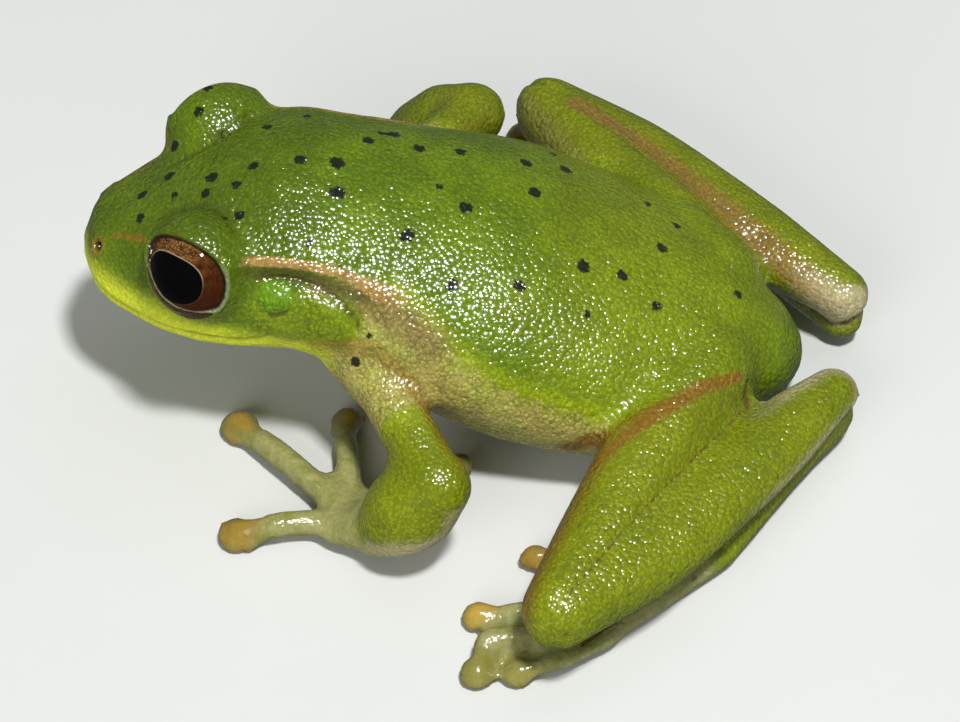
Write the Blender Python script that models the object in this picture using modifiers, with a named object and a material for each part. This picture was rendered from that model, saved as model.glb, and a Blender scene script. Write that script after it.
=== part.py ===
"""A tree frog at life size, sitting with its head raised and its hind legs folded.

The body is shaped whole, from swept forms that are fused and smoothed, and is then parted by thin
cuts at the neck and at every joint, so that each piece a person would name is a solid of its own.

Frame: the frog faces -X, its left side is -Y, and it sits on the plane z = 0. Sizes are written in
millimetres and turned into metres where a mesh is made.
"""

import math

import bmesh
import bpy
import numpy as np
from mathutils import Matrix, Vector

# ---------------------------------------------------------------- driving dimensions, millimetres

MM = 0.001
ROOM = 30.0  # more than the frog's reach from the middle of its body
SNOUT_VENT = 39.1
SNOUT_X = -21.3
EYE_RADIUS = 2.6
EYE_X = -14.4
EYE_Y = 5.0  # half the distance between the eyes' centres
EYE_Z = 12.65
EYE_OPENING = 2.4  # radius of the round opening between the lids
GAZE = (-0.42, 0.88, 0.21)  # the right eye's
LID_RADII = (3.05, 3.0, 3.1)
SOCKET_GAP = 0.15  # between the eye and the head around it
CUT = 0.2  # width of the thin cuts between the solids
DISC_HALF_HEIGHT = 0.72
DISC_Z = 0.5
KNUCKLE_Z = 1.15
FINGERS = ((0.6, 0.8), (0.72, 1.1), (0.78, 1.2), (0.74, 1.2))  # radius of each finger and of its disc
TOES = ((0.54, 0.8), (0.54, 0.82), (0.62, 0.98), (0.72, 0.98), (0.54, 0.8))

# Fusing: the voxel that the forms are merged at, and what the merged skin is thinned to.
VOXEL = 0.2
SMOOTH_ROUNDS = 8
TRIANGLES = 4200

# ---------------------------------------------------------------- the body's sections

# Each row: place along X, height of the back, of the widest line and of the belly, and half width.
BODY_SECTIONS = (
    (-21.3, 11.1, 9.4, 8.0, 1.9),
    (-19.7, 11.7, 9.1, 6.9, 3.4),
    (-18.1, 12.6, 9.3, 6.5, 4.6),
    (-17.0, 13.2, 9.5, 6.4, 5.4),
    (-15.8, 14.0, 9.7, 6.3, 6.1),
    (-14.4, 14.8, 9.9, 6.2, 6.7),
    (-12.0, 15.6, 10.3, 6.1, 7.2),
    (-9.8, 16.0, 10.7, 5.9, 7.4),
    (-7.0, 15.5, 9.9, 4.9, 7.8),
    (-2.8, 14.6, 8.4, 2.5, 8.7),
    (2.1, 13.45, 6.9, 0.4, 9.4),
    (6.4, 11.4, 5.5, -0.15, 9.3),
    (11.0, 9.1, 4.6, -0.2, 7.4),
    (13.9, 7.6, 4.0, -0.15, 5.0),
    (16.0, 6.1, 3.5, 0.5, 3.1),
    (17.8, 4.6, 3.1, 1.4, 1.9),
)
SNOUT_CAP = 1.1  # length over which the snout rounds off
RUMP_CAP = 1.6
SNOUT_SQUARENESS = 0.28  # how far the snout's sections are from ellipses; none is left at the neck

TEMPLE_OFFSET = np.array((1.6, -0.7, -0.6))  # from the eye to the swelling behind it
TEMPLE_RADII = (4.0, 2.5, 2.7)
NECK_X = -8.4
NECK_REACH = 9.0
HEAD_MIDDLE = np.array((-15.0, 0.0, 10.5))
TRUNK_MIDDLE = np.array((3.0, 0.0, 7.0))

# ---------------------------------------------------------------- the limbs' pose

LIMBS = {
    "left": {
        "shoulder": (-6.0, -5.4, 8.0),
        "elbow": (-1.2, -13.8, 6.2),
        "wrist": (-4.2, -13.2, 1.9),
        "palm": (-5.9, -11.8, 1.0),
        "fingers": ((-0.3, -7.3), (-7.1, -4.6), (-12.7, -5.4), (-11.9, -13.2)),
        "hip": (12.3, -3.6, 4.9),
        "knee": (5.6, -20.8, 5.1),
        "heel": (19.4, -3.2, 3.35),
        "ankle": (13.4, -12.7, 1.0),
        "instep": (8.0, -17.0, 0.85),
        "toes": (
            ((7.4, -14.8), (3.9, -13.5)),
            ((7.2, -16.0), (4.5, -15.6)),
            ((7.4, -17.3), (1.3, -17.9)),
            ((7.8, -18.1), (4.6, -19.45), (1.9, -19.75), (1.4, -21.5)),
            ((8.2, -18.9), (5.6, -20.9), (3.5, -21.5)),
        ),
        "groin": (5.6, -10.5),
        "crease": (6.3, -20.9),
        "seat": (15.2, -5.45),
    },
    "right": {
        "shoulder": (-6.0, 5.4, 8.0),
        "elbow": (-1.3, 14.2, 6.3),
        "wrist": (-5.7, 15.5, 2.1),
        "palm": (-7.8, 15.9, 1.0),
        "fingers": ((-4.6, 10.5), (-8.6, 8.6), (-13.6, 10.2), (-13.4, 16.4)),
        "hip": (12.5, 3.2, 4.9),
        "knee": (2.9, 15.9, 5.1),
        "heel": (19.9, 4.2, 3.5),
        "ankle": (11.8, 12.0, 1.0),
        "instep": (5.4, 15.2, 0.85),
        "toes": (
            ((5.5, 12.8), (2.8, 10.5)),
            ((5.1, 14.3), (2.8, 12.7)),
            ((5.1, 15.2), (-0.9, 14.0)),
            ((5.4, 16.1), (2.4, 16.2), (-0.7, 16.1), (-1.5, 17.7)),
            ((5.7, 16.9), (3.3, 18.0), (1.1, 18.7)),
        ),
        "groin": (3.5, 10.2),
        "crease": (2.9, 15.9),
        "seat": (14.6, 5.2),
    },
}

# Share of the segment's length, half width and half height there.
UPPER_ARM = ((0.0, 2.3, 2.5), (0.5, 1.45, 1.6), (1.0, 1.65, 1.7))
FOREARM = ((0.0, 1.8, 1.9), (0.4, 2.65, 2.4), (0.75, 2.4, 2.1), (1.0, 1.7, 1.5))
HAND = ((0.0, 1.6, 1.35), (1.0, 2.25, 0.95))
THIGH = ((0.0, 2.9, 3.2), (0.35, 2.7, 2.8), (0.7, 2.4, 2.4), (1.0, 2.0, 2.1))
SHANK = ((0.0, 2.0, 2.05), (0.3, 3.0, 1.95), (0.65, 2.55, 1.85), (1.0, 1.5, 1.45))
TARSUS = ((0.0, 1.3, 1.3), (0.4, 1.1, 1.05), (1.0, 1.25, 0.9))
FOOT = ((0.0, 1.25, 0.88), (1.0, 1.9, 0.8))
FINGER_TAPER = ((0.0, 1.0, 1.0), (0.8, 0.95, 0.9), (1.0, 0.9, 0.6))  # in finger radii
HEEL_DROP = 1.7  # from the shank's end down to the tarsus's
FINGER_CUT = 3.1  # from the palm's middle to the cut at a finger's root
HEEL_SPLIT = 2.5  # height of the cut between shank and tarsus at the heel
ANKLE_SPLIT = 2.2
SPLIT_SLOPE = 0.4  # its rise towards the outer side
TOE_FREE = (1.3, 1.15, 2.2, 3.3, 1.8)  # from the middle of each toe's disc back to its cut

# Cuts that stand across a limb: reach to either side of its middle, lowest and highest line.
ACROSS = {
    "upper_arm": (2.0, -2.4, 2.4),
    "elbow": (3.2, -3.4, 3.0),
    "wrist": (2.0, -2.2, 2.2),
    "finger": (0.9, -1.4, 0.9),
    "foot": (2.0, -2.0, 1.1),
}
TOE_ACROSS = (0.27, -1.4, 1.25)  # its reach is past the toe's own radius
ELBOW_FORWARD = 0.6  # from the elbow's middle to that of its cut
FOOT_FORWARD = 0.8
ARM_ROOT_TURN = 0.35  # how far the upper arm's cut turns to face straight outwards

# Cuts that run along the leg: length past the first and the last point, lowest and highest line.
CREASE_CUT = (3.2, 2.2, 2.15, 8.8)
GROIN_CUT = (0.0, 0.25, -0.5, 8.8)
HEEL_CUT = (2.5, 1.8, -2.6, 3.4)

SMALLEST_PIECE = 20  # vertices; anything less is a crumb left by a cut

# ---------------------------------------------------------------- colours and roughness

# The first key that a piece's name begins with gives its look.
LOOKS = {
    "eye": ((0.03, 0.012, 0.006), 0.08),
    "finger": ((0.42, 0.30, 0.12), 0.3),
    "toe": ((0.42, 0.30, 0.12), 0.3),
    "hand": ((0.42, 0.33, 0.14), 0.3),
    "foot": ((0.42, 0.33, 0.14), 0.3),
    "tarsus": ((0.30, 0.30, 0.05), 0.35),
    "": ((0.22, 0.34, 0.01), 0.35),
}

# ---------------------------------------------------------------- sweeping a form along a line


def steady_cubic(knots, values, at):
    """Values at the given places on a cubic through the knots that doesn't overshoot them."""
    knots, values = np.asarray(knots, float), np.asarray(values, float)
    step = np.diff(knots)
    rise = np.diff(values) / step
    slope = np.zeros_like(values)
    slope[0], slope[-1] = rise[0], rise[-1]
    same_way = rise[:-1] * rise[1:] > 0
    slope[1:-1][same_way] = 2 / (1 / rise[:-1][same_way] + 1 / rise[1:][same_way])
    i = np.clip(np.searchsorted(knots, at, side="right") - 1, 0, len(step) - 1)
    u = (at - knots[i]) / step[i]
    return (
        (1 + 2 * u) * (1 - u) ** 2 * values[i]
        + u * (1 - u) ** 2 * step[i] * slope[i]
        + u * u * (3 - 2 * u) * values[i + 1]
        + u * u * (u - 1) * step[i] * slope[i + 1]
    )


def round_off(distance, reach):
    """1 inside a form, falling as a quarter of an ellipse to 0 over the last of its reach."""
    return np.sqrt(np.clip(1 - (1 - np.clip(distance / reach, 0, 1)) ** 2, 0, 1))


def sphere_rings(sides, rings):
    """A sphere's vertices as (share of the way from pole to pole, direction across)."""
    form = bmesh.new()
    bmesh.ops.create_uvsphere(form, u_segments=sides, v_segments=rings, radius=1.0)
    unit = np.array([v.co for v in form.verts])
    return form, (1 - unit[:, 2]) / 2, np.arctan2(unit[:, 1], unit[:, 0])


def place(form, points):
    for vertex, point in zip(form.verts, points * MM):
        vertex.co = point
    bmesh.ops.recalc_face_normals(form, faces=form.faces)
    return form


def swept(path, sections, sides=20, rings=24):
    """A fleshy length along a line of points, with round ends about its first and last points.

    Each section is (share of the length, half width, half height). Height is measured upwards as
    far as the line allows.
    """
    path = np.array(path, float)
    sections = np.array(sections, float)
    form, share, around = sphere_rings(sides, rings)
    chords = np.linalg.norm(np.diff(path, axis=0), axis=1)
    knots = np.concatenate([[0.0], np.cumsum(chords)]) / chords.sum()
    length = chords.sum()
    ends = sections[[0, -1], 1:].mean(axis=1)
    run = -ends[0] + share * (length + ends.sum())
    along = np.clip(run / length, 0, 1)
    centre = np.stack([steady_cubic(knots, path[:, k], along) for k in range(3)], 1)
    nudge = 0.01
    tangent = np.stack(
        [
            steady_cubic(knots, path[:, k], np.clip(along + nudge, 0, 1))
            - steady_cubic(knots, path[:, k], np.clip(along - nudge, 0, 1))
            for k in range(3)
        ],
        1,
    )
    tangent /= np.linalg.norm(tangent, axis=1)[:, None]
    centre += tangent * (run - along * length)[:, None]
    side = np.cross(tangent, (0.0, 0.0, 1.0))
    side /= np.linalg.norm(side, axis=1)[:, None]
    up = np.cross(side, tangent)
    taper = round_off(run + ends[0], ends[0]) * round_off(length + ends[1] - run, ends[1])
    width = steady_cubic(sections[:, 0], sections[:, 1], along) * taper
    height = steady_cubic(sections[:, 0], sections[:, 2], along) * taper
    points = centre + side * (width * np.cos(around))[:, None] + up * (height * np.sin(around))[:, None]
    return place(form, points)


def ball(centre, radii, sides=20, rings=12):
    """An ellipsoid."""
    form, _, _ = sphere_rings(sides, rings)
    matrix = Matrix.Translation(Vector(centre) * MM) @ Matrix.Diagonal((*(Vector(radii) * MM), 1.0))
    bmesh.ops.transform(form, matrix=matrix, verts=form.verts)
    return form


def body():
    """Head and trunk in one, swept through the body's upright sections from snout to vent."""
    rows = np.array(BODY_SECTIONS)
    form, share, around = sphere_rings(48, 64)
    x = SNOUT_X + SNOUT_VENT * share
    back, widest, belly, half = (steady_cubic(rows[:, 0], rows[:, k], x) for k in range(1, 5))
    cap = round_off(x - SNOUT_X, SNOUT_CAP) * round_off(SNOUT_X + SNOUT_VENT - x, RUMP_CAP)
    rise = np.where(np.sin(around) > 0, back - widest, widest - belly)
    power = 1 - SNOUT_SQUARENESS * np.clip((x - NECK_X) / (SNOUT_X - NECK_X), 0, 1)
    out, up = (np.sign(turn) * np.abs(turn) ** power for turn in (np.cos(around), np.sin(around)))
    return place(form, np.stack([x, cap * half * out, widest + cap * rise * up], 1))


def finger(stops, root_z, radius, disc):
    """A finger or toe lying on the floor from its root to its last stop, with a disc at its tip."""
    stops = np.array(stops, float)
    if len(stops) == 2:
        stops = np.insert(stops, 1, stops.mean(axis=0), axis=0)
    heights = [root_z] + [KNUCKLE_Z] * (len(stops) - 2) + [DISC_Z + 0.1]
    path = np.column_stack([stops, heights])
    sections = np.array(FINGER_TAPER) * (1.0, radius, radius)
    tip = (*stops[-1], DISC_Z)
    return [swept(path, sections, 14, 28), ball(tip, (disc, disc, DISC_HALF_HEIGHT), 18, 10)]


def toward(start, end, distance):
    start, end = np.array(start, float), np.array(end, float)
    return start + (end - start) * distance / np.linalg.norm(end - start)


def limb_forms(pose):
    """One side's arm and leg as (name, forms, middle of the piece)."""
    at = {key: np.array(pose[key], float) for key in pose if key not in ("fingers", "toes")}
    at["hock"] = at["heel"] - (0.0, 0.0, HEEL_DROP)
    pieces = []
    for name, start, end, sections in (
        ("upper_arm", "shoulder", "elbow", UPPER_ARM),
        ("forearm", "elbow", "wrist", FOREARM),
        ("hand", "wrist", "palm", HAND),
        ("thigh", "hip", "knee", THIGH),
        ("shank", "knee", "heel", SHANK),
        ("tarsus", "hock", "ankle", TARSUS),
        ("foot", "ankle", "instep", FOOT),
    ):
        middle = at["instep"] if name == "foot" else (at[start] + at[end]) / 2
        pieces.append((name, [swept((at[start], at[end]), sections)], middle))
    for number, (tip, (radius, disc)) in enumerate(zip(pose["fingers"], FINGERS), 1):
        root = toward(at["palm"], (*tip, 0.9), 1.1)
        forms = finger((root[:2], tip), root[2], radius, disc)
        pieces.append((f"finger_{number}", forms, (*tip, DISC_Z)))
    for number, (stops, (radius, disc)) in enumerate(zip(pose["toes"], TOES), 1):
        forms = finger(stops, at["instep"][2], radius, disc)
        pieces.append((f"toe_{number}", forms, (*stops[-1], DISC_Z)))
    return pieces


# ---------------------------------------------------------------- fusing and parting


def new_object(name, mesh, collection):
    item = bpy.data.objects.new(name, mesh)
    collection.objects.link(item)
    return item


def joined(name, shapes, collection):
    """All the shapes as the shells of one object."""
    whole = bmesh.new()
    for shape in shapes:
        mesh = bpy.data.meshes.new(name)
        shape.to_mesh(mesh)
        shape.free()
        whole.from_mesh(mesh)
        bpy.data.meshes.remove(mesh)
    mesh = bpy.data.meshes.new(name)
    whole.to_mesh(mesh)
    whole.free()
    return new_object(name, mesh, collection)


def settle(item):
    """Replace an object's mesh by what its modifiers make of it."""
    bpy.context.view_layer.update()
    evaluated = item.evaluated_get(bpy.context.evaluated_depsgraph_get())
    mesh = bpy.data.meshes.new_from_object(evaluated)
    item.modifiers.clear()
    item.data = mesh


def fuse(item):
    remesh = item.modifiers.new("fuse", "REMESH")
    remesh.mode = "VOXEL"
    remesh.voxel_size = VOXEL * MM
    smooth = item.modifiers.new("soften", "SMOOTH")
    smooth.factor = 0.5
    smooth.iterations = SMOOTH_ROUNDS
    settle(item)
    thin = item.modifiers.new("thin", "DECIMATE")
    thin.ratio = TRIANGLES / (2 * len(item.data.polygons))
    settle(item)


def take_away(item, name, shapes, solver="EXACT"):
    """Cut each shape out of the object. The cutters stay in their own collection, as wires."""
    for shape in shapes:
        cutter = joined(f"{name}_cutter", [shape], cutters)
        cutter.display_type = "WIRE"
        cutter.hide_render = True
        cut = item.modifiers.new("cut", "BOOLEAN")
        cut.operation = "DIFFERENCE"
        cut.solver = solver
        cut.object = cutter
        settle(item)


def parted(item):
    """The solids that the cuts have made of an object, without the crumbs between them."""
    item.select_set(True)
    bpy.context.view_layer.objects.active = item
    bpy.ops.mesh.separate(type="LOOSE")
    solids = []
    for piece in list(item.users_collection[0].objects):
        if len(piece.data.vertices) < SMALLEST_PIECE:
            bpy.data.objects.remove(piece)
        else:
            solids.append(piece)
    return solids


def middle_of(piece):
    return np.mean([vertex.co for vertex in piece.data.vertices], axis=0) / MM


def give_look(piece):
    material = bpy.data.materials.new(f"{piece.name}_surface")
    material.use_nodes = True
    shader = material.node_tree.nodes["Principled BSDF"]
    colour, roughness = next(look for key, look in LOOKS.items() if piece.name.startswith(key))
    shader.inputs["Base Color"].default_value = (*colour, 1.0)
    shader.inputs["Roughness"].default_value = roughness
    shader.inputs["Metallic"].default_value = 0.0
    piece.data.materials.clear()
    piece.data.materials.append(material)


def block(low, high):
    """An upright box between two corners."""
    low, high = np.array(low, float), np.array(high, float)
    form = bmesh.new()
    middle, size = Vector((low + high) / 2 * MM), Vector((high - low) * MM)
    matrix = Matrix.Translation(middle) @ Matrix.Diagonal((*size, 1.0))
    bmesh.ops.create_cube(form, size=1.0, matrix=matrix)
    return form


def blade(start, end, low, high, rise=(0.0, 0.0, 1.0)):
    """A thin wall on the line from start to end, reaching from low to high along its rise."""
    start, end = Vector(start), Vector(end)
    run = (end - start).normalized()
    rise = Vector(rise)
    rise = (rise - run * rise.dot(run)).normalized()
    turn = Matrix((run, rise, run.cross(rise))).transposed().to_4x4()
    middle = (start + end) / 2 + rise * (low + high) / 2
    size = Matrix.Diagonal(((end - start).length * MM, (high - low) * MM, CUT * MM, 1.0))
    form = bmesh.new()
    bmesh.ops.create_cube(form, size=1.0, matrix=Matrix.Translation(middle * MM) @ turn @ size)
    return form


def across(centre, direction, reach, low, high):
    """A blade across a limb, standing square to the direction that the limb runs in."""
    centre, direction = Vector(centre), Vector(direction).normalized()
    side = direction.cross((0.0, 0.0, 1.0)).normalized() * reach
    return blade(centre - side, centre + side, low, high, side.cross(direction))


def along(start, end, lengths, rise=(0.0, 0.0, 1.0)):
    """A blade that runs on past both of its points."""
    before, after, low, high = lengths
    run = (end - start).normalized()
    return blade(start - run * before, end + run * after, low, high, rise)


def opening(eye, gaze):
    """A plug as wide as the gap between the lids, from the eye's middle outwards."""
    form = bmesh.new()
    reach = EYE_RADIUS * 2
    matrix = gaze.to_track_quat("Z", "Y").to_matrix().to_4x4()
    matrix = Matrix.Translation((Vector(eye) + gaze.normalized() * reach / 2) * MM) @ matrix
    bmesh.ops.create_cone(form, cap_ends=True, segments=28, radius1=EYE_OPENING * MM,
        radius2=EYE_OPENING * 1.1 * MM, depth=reach * MM, matrix=matrix)
    return form


def limb_blades(pose):
    at = {key: Vector(pose[key]) if len(pose[key]) == 3 else pose[key] for key in pose}
    upper_arm = (at["elbow"] - at["shoulder"]).normalized()
    forearm = (at["wrist"] - at["elbow"]).normalized()
    hand = (at["palm"] - at["wrist"]).normalized()
    outward = Vector((0.0, math.copysign(1.0, at["elbow"].y), 0.0))
    root = at["shoulder"].lerp(at["elbow"], 0.5)
    bend = upper_arm + forearm
    forward = bend.cross((0.0, 0.0, 1.0)).normalized()
    forward *= -math.copysign(1.0, forward.x)
    blades = [
        across(root, upper_arm + outward * ARM_ROOT_TURN, *ACROSS["upper_arm"]),
        across(at["elbow"] + forward * ELBOW_FORWARD, bend, *ACROSS["elbow"]),
        across(at["wrist"], forearm + hand, *ACROSS["wrist"]),
    ]
    for tip in pose["fingers"]:
        way = (Vector((*tip, at["palm"].z)) - at["palm"]).normalized()
        blades.append(across(at["palm"] + way * FINGER_CUT, way, *ACROSS["finger"]))
    crease, seat, groin = (Vector((*at[key], 0.0)) for key in ("crease", "seat", "groin"))
    blades.append(along(crease, seat, CREASE_CUT))
    blades.append(along(groin, seat, GROIN_CUT))
    start = Vector((*at["heel"].xy, HEEL_SPLIT))
    end = Vector((*at["ankle"].xy, ANKLE_SPLIT))
    aside = (end - start).cross((0.0, 0.0, 1.0))
    aside.z = 0.0
    aside *= math.copysign(1.0, aside.y * outward.y) / aside.length
    blades.append(along(start, end, HEEL_CUT, aside + Vector((0.0, 0.0, SPLIT_SLOPE))))
    foot = at["instep"] - at["ankle"]
    blades.append(across(at["ankle"] + foot.normalized() * FOOT_FORWARD, foot, *ACROSS["foot"]))
    margin, low, high = TOE_ACROSS
    for stops, (radius, _), free in zip(pose["toes"], TOES, TOE_FREE):
        stops = [Vector((*stop, at["instep"].z)) for stop in reversed(stops)]
        while (stops[1] - stops[0]).length < free:
            free -= (stops[1] - stops[0]).length
            stops.pop(0)
        way = (stops[1] - stops[0]).normalized()
        blades.append(across(stops[0] + way * free, way, radius + margin, low, high))
    return blades


# ---------------------------------------------------------------- the whole frog

for item in list(bpy.data.objects):
    bpy.data.objects.remove(item, do_unlink=True)
parts = bpy.data.collections.new("tree_frog")
cutters = bpy.data.collections.new("cutters")
for collection in (parts, cutters):
    bpy.context.scene.collection.children.link(collection)

eyes = {"left": np.array((EYE_X, -EYE_Y, EYE_Z)), "right": np.array((EYE_X, EYE_Y, EYE_Z))}
gazes = {"left": Vector((GAZE[0], -GAZE[1], GAZE[2])), "right": Vector(GAZE)}
middles = {"head": HEAD_MIDDLE, "trunk": TRUNK_MIDDLE}
shapes = [body()]
for side, eye in eyes.items():
    shapes.append(ball(eye, LID_RADII))
    shapes.append(ball(eye + TEMPLE_OFFSET * (1, np.sign(eye[1]), 1), TEMPLE_RADII))
for side, pose in LIMBS.items():
    for name, forms, middle in limb_forms(pose):
        middles[f"{name}_{side}"] = middle
        shapes.extend(forms)

flesh = joined("flesh", shapes, parts)
fuse(flesh)
take_away(flesh, "floor", [block((-ROOM, -ROOM, -ROOM), (ROOM, ROOM, 0.0))])
for side, eye in eyes.items():
    socket = ball(eye, [EYE_RADIUS + SOCKET_GAP] * 3)
    take_away(flesh, f"eye_{side}", [socket, opening(eye, gazes[side])])
take_away(flesh, "neck", [blade((NECK_X, -NECK_REACH, 0.0), (NECK_X, NECK_REACH, 0.0), 4.4, 17.6)])
for side, pose in LIMBS.items():
    # The exact solver skips a cut or drops a hand once the body is in many pieces.
    take_away(flesh, side, limb_blades(pose), "MANIFOLD")

solids = parted(flesh)
for piece in solids:
    middle = middle_of(piece)
    piece.name = min(middles, key=lambda name: np.linalg.norm(middle - middles[name]))
assert sorted(piece.name for piece in solids) == sorted(middles)
for side, eye in eyes.items():
    solids.append(joined(f"eye_{side}", [ball(eye, [EYE_RADIUS] * 3)], parts))

# The origin goes to the floor under the middle of the frog's box.
corners = np.array([vertex.co for piece in solids for vertex in piece.data.vertices])
centre = (corners.min(axis=0) + corners.max(axis=0)) / 2
shift = Matrix.Translation((-centre[0], -centre[1], 0.0))
for item in solids + list(cutters.objects):
    item.data.transform(shift)
for piece in solids:
    piece.data.shade_smooth()
    give_look(piece)
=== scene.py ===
"""A still, life-size model of a small green tree frog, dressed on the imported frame.

One skin stands for all the flesh nodes. It is made from copies of them, which are merged, swelled
until the thin cuts between them close, remeshed, shrunk back and carved. Its markings are kept on
its points as shares from 0 to 1 and as distances from thin lines, and the skin's material turns
them into colour, gloss and grain. The eyes are pieces of their own.

The frog's own coordinates are millimetres: X towards the tail, Y to its right, Z up, with the zero
on the floor under the middle of its back. They are tied to the frame through the two eyes.
"""

import math

import bmesh
import bpy
import numpy as np
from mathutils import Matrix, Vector
from mathutils.bvhtree import BVHTree


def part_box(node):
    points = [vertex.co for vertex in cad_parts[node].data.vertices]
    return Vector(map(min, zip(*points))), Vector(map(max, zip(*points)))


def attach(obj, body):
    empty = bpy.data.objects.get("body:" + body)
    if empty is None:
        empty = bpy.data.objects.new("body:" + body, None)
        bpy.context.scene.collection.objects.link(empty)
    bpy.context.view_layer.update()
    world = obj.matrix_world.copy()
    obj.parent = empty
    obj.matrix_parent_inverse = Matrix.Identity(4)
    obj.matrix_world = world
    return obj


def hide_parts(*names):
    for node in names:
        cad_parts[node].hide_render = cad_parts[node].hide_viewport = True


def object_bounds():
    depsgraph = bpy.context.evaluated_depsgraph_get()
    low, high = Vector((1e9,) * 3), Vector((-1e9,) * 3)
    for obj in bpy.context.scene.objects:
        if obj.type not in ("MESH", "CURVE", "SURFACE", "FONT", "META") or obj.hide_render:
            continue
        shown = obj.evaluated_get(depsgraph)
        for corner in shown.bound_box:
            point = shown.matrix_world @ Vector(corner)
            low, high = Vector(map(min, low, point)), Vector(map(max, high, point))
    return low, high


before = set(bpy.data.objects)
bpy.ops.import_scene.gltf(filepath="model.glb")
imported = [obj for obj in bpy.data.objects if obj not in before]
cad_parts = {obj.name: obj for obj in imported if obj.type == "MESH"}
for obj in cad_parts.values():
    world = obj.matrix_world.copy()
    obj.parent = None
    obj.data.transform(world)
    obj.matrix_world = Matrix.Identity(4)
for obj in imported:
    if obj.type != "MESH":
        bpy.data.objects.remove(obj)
CAD_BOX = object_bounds()

# ---------------------------------------------------------------- sizes, millimetres

MM = 0.001
SIDES = {"left": -1.0, "right": 1.0}

# The eyes; where the two differ, this is the right one and the left one mirrors it.
EYE = np.array((-14.4, 5.0, 12.65))
EYE_RADIUS = 2.6
GAZE = np.array((-0.42, 0.88, 0.21))
PUPIL_MIDDLE = (-0.20, 0.35)  # across and up from the eye's axis
PUPIL_HALF = (1.70, 1.30)
PUPIL_SQUARE = 2.3  # 2 would be an ellipse
EYE_RINGS = 64
EYE_SIDES = 96

# The fused skin.
SWELL = 0.17  # enough to close the cuts between the solids
SWELL_AT_EDGES = 1.35  # how many times that a sharp edge may move
VOXEL = 0.30
SOFTEN_ROUNDS = 11
SHARP_PULL = (0.052, 0.092)  # a point further than this from its neighbours' mean is a sharp one
HEAD_BACK = -8.2  # the head's finer faces end here
HEAD_FLOOR = 6.6
REACH = 3.0  # distances to the nodes are measured no further than this
FAR_FROM_CUT = 2.0  # and those to the cuts between them no further than this
KNEE_POINT = (0.85, 15.2, 5.3)  # the cut between two solids leaves a sharp point on the right knee
KNEE_RADIUS = (1.2, 0.7)

# The lids.
SOCKET_BALL = 2.42  # fills the eye socket behind the eye
LID_RADIUS = 2.70  # of the lids' edge about the eye's middle
HOOD_RISE = 0.33  # how much higher the upper lid stands
LOWER_RISE = 0.14  # and the lower one, away from its edge
LID_REACH = 3.3  # the lids' finer faces end this far from the eye's middle
WIDE_TURN = 62.0  # where the eye opens wide, its lids' edge is about so many degrees off the gaze

# The webs and discs.
WEB_THICKNESS = 0.66  # before the skin shrinks back
WEB_SUNK = 0.2  # below the floor, where the skin is cut flat at the end
FINGER_DISC = 1.15
TOE_DISC = 0.9
DISC_HEIGHT = 0.5
DISC_SECTORS = 20  # a disc's outline is rounded by these

# For each pair of toes, how far the web reaches towards their discs and at the middle of its edge.
WEBS = ((1, 2, 0.60, 0.45), (2, 3, 0.66, 0.50), (3, 4, 0.86, 0.76), (4, 5, 0.97, 0.92))

# ---------------------------------------------------------------- places, millimetres

# The opening between the lids: how many degrees off the line of sight its edge lies, going round
# from the hind corner (0) over the top (90) and the front (180); and likewise the outer edge of
# the dark lower lid.
LID_LINE = (
    (-180, 38.0), (-168, 29.0), (-144, 23.0), (-100, 21.5), (-71, 28.0), (-54, 36.0), (-43, 45.0),
    (-34, 54.0), (-25, 59.0), (-11, 61.0), (13, 62.6), (39, 62.4), (60, 60.0), (75, 58.0),
    (88, 58.0), (102, 58.8), (115, 60.5), (129, 63.5), (142, 67.0), (152, 67.0), (161, 60.0),
    (171, 47.0),
)
DARK_LID = (
    (-180, 44.0), (-143, 44.5), (-109, 47.0), (-94, 50.0), (-81, 54.0), (-60, 58.0), (-35, 60.0),
    (170, 48.0),
)

# The right side's landmarks; the left side mirrors them.
NOSTRIL = (-20.25, 2.2, 10.95)
MOUTH = (
    (-21.3, 0.0, 8.7), (-20.3, 2.9, 8.4), (-18.6, 4.5, 8.2), (-16.4, 6.0, 8.5), (-14.3, 6.7, 9.0),
    (-12.1, 7.0, 9.3), (-10.9, 7.2, 9.7), (-9.9, 7.4, 10.2),
)
EAR = (-10.2, 6.9, 12.6)
EAR_RADIUS = 0.95
CHEEK = ((-10.2, 7.2, 11.4), (-7.3, 7.4, 11.5))
CHEEK_RADIUS = 1.5
FOLD = (
    (-12.1, 6.4, 13.5), (-11.1, 6.3, 13.4), (-10.2, 6.3, 13.5), (-8.9, 6.3, 13.4),
    (-7.6, 6.5, 13.0), (-6.6, 6.9, 12.4), (-5.9, 7.4, 11.7), (-5.6, 7.8, 10.9), (-5.8, 8.0, 10.2),
)
STRIPE = (
    (-12.6, 6.4, 14.4), (-10.9, 5.7, 14.0), (-8.9, 5.8, 14.0), (-6.8, 5.8, 13.5),
    (-5.0, 6.3, 13.0), (-3.4, 6.9, 12.3), (-2.6, 7.3, 11.8),
)
# Painted shade under the fold that runs back over the ear.
SHADE = (
    (-11.8, 6.4, 13.8), (-10.9, 6.1, 13.6), (-8.9, 6.1, 13.7), (-7.3, 6.4, 13.2), (-5.2, 6.8, 12.6),
)
CANTHUS = ((-20.2, 1.9, 11.3), (-19.2, 2.2, 11.8), (-18.0, 2.9, 12.6), (-17.0, 4.2, 13.6))
LID_CREASE = ((-17.0, 1.9, 13.1), (-15.1, 2.1, 14.4), (-13.1, 3.2, 15.0), (-12.1, 4.9, 14.8))
SHOULDER = (
    (-8.0, 6.5, 13.2), (-6.6, 6.8, 12.9), (-4.8, 6.9, 12.5), (-3.2, 7.5, 11.5), (-2.0, 8.0, 10.8),
)
SHANK_UPPER = (0.05, 0.68, 0.73)  # the way the green face of the heel looks

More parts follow.
